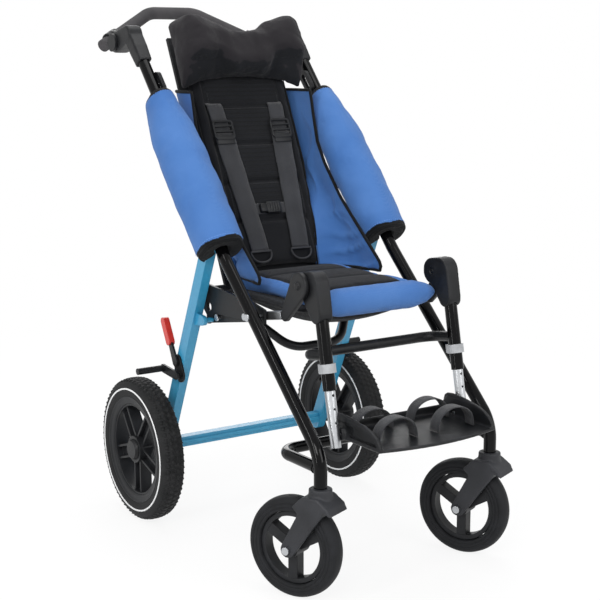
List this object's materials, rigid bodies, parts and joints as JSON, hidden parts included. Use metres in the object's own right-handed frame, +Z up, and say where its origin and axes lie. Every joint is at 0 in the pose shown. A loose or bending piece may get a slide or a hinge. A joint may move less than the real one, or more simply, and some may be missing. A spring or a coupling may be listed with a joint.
{
  "type": "special needs buggy",
  "caption": "Folding A-frame special needs buggy with padded reclining seat, butterfly headrest, harness, swivel front casters, braked rear wheels and adjustable footrest.",
  "frame": {"origin": "On the floor under the middle of the buggy's overall box.", "axes": "+X to the seated child's left, -Y forward, +Z up; the two halves mirror about X = 0 apart from the swivelled casters."},
  "size_m": [0.5762, 1.039, 1.1006],
  "materials": {
    "black_gloss_steel": "gloss",
    "black_satin_steel": "satin",
    "blue_steel": "satin",
    "silver_tube": "satin",
    "bright_steel": "satin",
    "alloy_casting": "satin",
    "dark_plastic": "matte",
    "light_plastic": "matte",
    "rim_plastic": "satin",
    "red_plastic": "gloss",
    "tyre_rubber": "matte",
    "grip_foam": "matte",
    "black_fabric": "matte",
    "blue_fabric": "matte",
    "webbing": "matte",
    "back_shell": "matte"
  },
  "bodies": {
    "frame": {"front_tube_left": "black_gloss_steel", "front_tube_right": "black_gloss_steel", "lower_cross_bar": "black_gloss_steel", "stem_bushes": "light_plastic", "handle_brackets": "dark_plastic", "handle_buttons": "dark_plastic", "strap_anchors": "dark_plastic", "bolster_left": "blue_fabric", "bolster_right": "blue_fabric", "seat_rails": "black_satin_steel", "seat_side_plates": "black_satin_steel", "frame_bolts": "bright_steel", "seat_sling": "black_fabric", "seat_cushion": "black_fabric", "seat_front_roll": "blue_fabric", "side_panel_left": "blue_fabric", "side_panel_right": "blue_fabric"},
    "rear_legs": {"rear_leg_left": "blue_steel", "rear_leg_right": "blue_steel", "rear_crossbar": "blue_steel", "rear_axles": "bright_steel", "brake_clamps": "black_satin_steel"},
    "rear_wheel_left": {"rear_tyre_left": "tyre_rubber", "rear_rim_left": "rim_plastic", "rear_hub_cap_left": "dark_plastic"},
    "rear_wheel_right": {"rear_tyre_right": "tyre_rubber", "rear_rim_right": "rim_plastic", "rear_hub_cap_right": "dark_plastic"},
    "brake_lever_left_body": {"brake_lever_left": "black_satin_steel", "brake_grip_left": "red_plastic"},
    "brake_lever_right_body": {"brake_lever_right": "black_satin_steel", "brake_grip_right": "red_plastic"},
    "brake_shoe_left_body": {"brake_shoe_left": "black_satin_steel"},
    "brake_shoe_right_body": {"brake_shoe_right": "black_satin_steel"},
    "caster_left": {"caster_fork_left": "alloy_casting", "caster_axle_left": "bright_steel"},
    "caster_right": {"caster_fork_right": "alloy_casting", "caster_axle_right": "bright_steel"},
    "caster_wheel_left": {"caster_tyre_left": "tyre_rubber", "caster_rim_left": "rim_plastic"},
    "caster_wheel_right": {"caster_tyre_right": "tyre_rubber", "caster_rim_right": "rim_plastic"},
    "push_handle": {"push_bar": "bright_steel", "handle_grip": "grip_foam", "handle_clamps": "dark_plastic"},
    "backrest": {"back_board": "back_shell", "back_cushion": "black_fabric", "harness_straps": "webbing", "harness_hardware": "dark_plastic"},
    "head_support": {"headrest": "black_fabric"},
    "seat_slider": {"inner_rails": "silver_tube", "knee_brackets": "dark_plastic"},
    "leg_rest": {"knee_housings": "dark_plastic", "hanger_tubes": "black_gloss_steel", "tube_clamps": "light_plastic", "calf_bar": "black_satin_steel"},
    "foot_slide": {"foot_tubes": "silver_tube"},
    "foot_support": {"footplate": "dark_plastic", "foot_straps": "webbing"},
    "fold_release": {"release_bar": "black_satin_steel"}
  },
  "joints": [
    {"name": "leg_fold", "type": "hinge", "parent": "frame", "child": "rear_legs", "pos_m": [0, -0.0183, 0.621], "axis": [-1, 0, 0], "range_deg": [0, 30]},
    {"name": "rear_wheel_left_spin", "type": "hinge", "parent": "rear_legs", "child": "rear_wheel_left", "pos_m": [0.261, 0.1875, 0.155], "axis": [1, 0, 0], "continuous": true},
    {"name": "rear_wheel_right_spin", "type": "hinge", "parent": "rear_legs", "child": "rear_wheel_right", "pos_m": [-0.261, 0.1875, 0.155], "axis": [1, 0, 0], "continuous": true},
    {"name": "brake_lever_left_turn", "type": "hinge", "parent": "rear_legs", "child": "brake_lever_left_body", "pos_m": [0.22, 0.10473, 0.356], "axis": [1, 0, 0], "range_deg": [0, 44]},
    {"name": "brake_lever_right_turn", "type": "hinge", "parent": "rear_legs", "child": "brake_lever_right_body", "pos_m": [-0.22, 0.10473, 0.356], "axis": [1, 0, 0], "range_deg": [0, 44]},
    {"name": "brake_shoe_left_turn", "type": "hinge", "parent": "rear_legs", "child": "brake_shoe_left_body", "pos_m": [0.225, 0.09222, 0.33], "axis": [-1, 0, 0], "range_deg": [0, 22]},
    {"name": "brake_shoe_right_turn", "type": "hinge", "parent": "rear_legs", "child": "brake_shoe_right_body", "pos_m": [-0.225, 0.09222, 0.33], "axis": [-1, 0, 0], "range_deg": [0, 22]},
    {"name": "caster_left_swivel", "type": "hinge", "parent": "frame", "child": "caster_left", "pos_m": [0.203, -0.4125, 0.2], "axis": [0, 0, 1], "continuous": true},
    {"name": "caster_right_swivel", "type": "hinge", "parent": "frame", "child": "caster_right", "pos_m": [-0.203, -0.4125, 0.2], "axis": [0, 0, 1], "continuous": true},
    {"name": "caster_wheel_left_spin", "type": "hinge", "parent": "caster_left", "child": "caster_wheel_left", "pos_m": [0.18147, -0.36298, 0.0975], "axis": [0.9171, 0.3987, 0], "continuous": true},
    {"name": "caster_wheel_right_spin", "type": "hinge", "parent": "caster_right", "child": "caster_wheel_right", "pos_m": [-0.22453, -0.36298, 0.0975], "axis": [0.9171, 0.3987, 0], "continuous": true},
    {"name": "handle_tilt", "type": "hinge", "parent": "frame", "child": "push_handle", "pos_m": [0, 0.35942, 1.01754], "axis": [1, 0, 0], "range_deg": [-45, 50]},
    {"name": "back_recline", "type": "hinge", "parent": "frame", "child": "backrest", "pos_m": [0, 0.0475, 0.512], "axis": [-1, 0, 0], "range_deg": [-5, 25]},
    {"name": "headrest_height", "type": "slide", "parent": "backrest", "child": "head_support", "axis": [0, 0.4226, 0.9063], "range_m": [0, 0.06]},
    {"name": "seat_depth", "type": "slide", "parent": "frame", "child": "seat_slider", "axis": [0, -0.9848, 0.1736], "range_m": [0, 0.06]},
    {"name": "knee_angle", "type": "hinge", "parent": "seat_slider", "child": "leg_rest", "pos_m": [0, -0.3005, 0.572], "axis": [-1, 0, 0], "range_deg": [0, 70]},
    {"name": "foot_length", "type": "slide", "parent": "leg_rest", "child": "foot_slide", "axis": [0, 0.1959, 0.9806], "range_m": [-0.04, 0.06]},
    {"name": "footplate_flip", "type": "hinge", "parent": "foot_slide", "child": "foot_support", "pos_m": [0, -0.38545, 0.302], "axis": [-1, 0, 0], "range_deg": [0, 85]},
    {"name": "release_pull", "type": "hinge", "parent": "frame", "child": "fold_release", "pos_m": [0, -0.03163, 0.47021], "axis": [-1, 0, 0], "range_deg": [0, 15]}
  ],
  "couplings": [
    {"joint": "brake_shoe_left_turn", "follows": "brake_lever_left_turn", "ratio": 0.5},
    {"joint": "brake_shoe_right_turn", "follows": "brake_lever_right_turn", "ratio": 0.5}
  ]
}
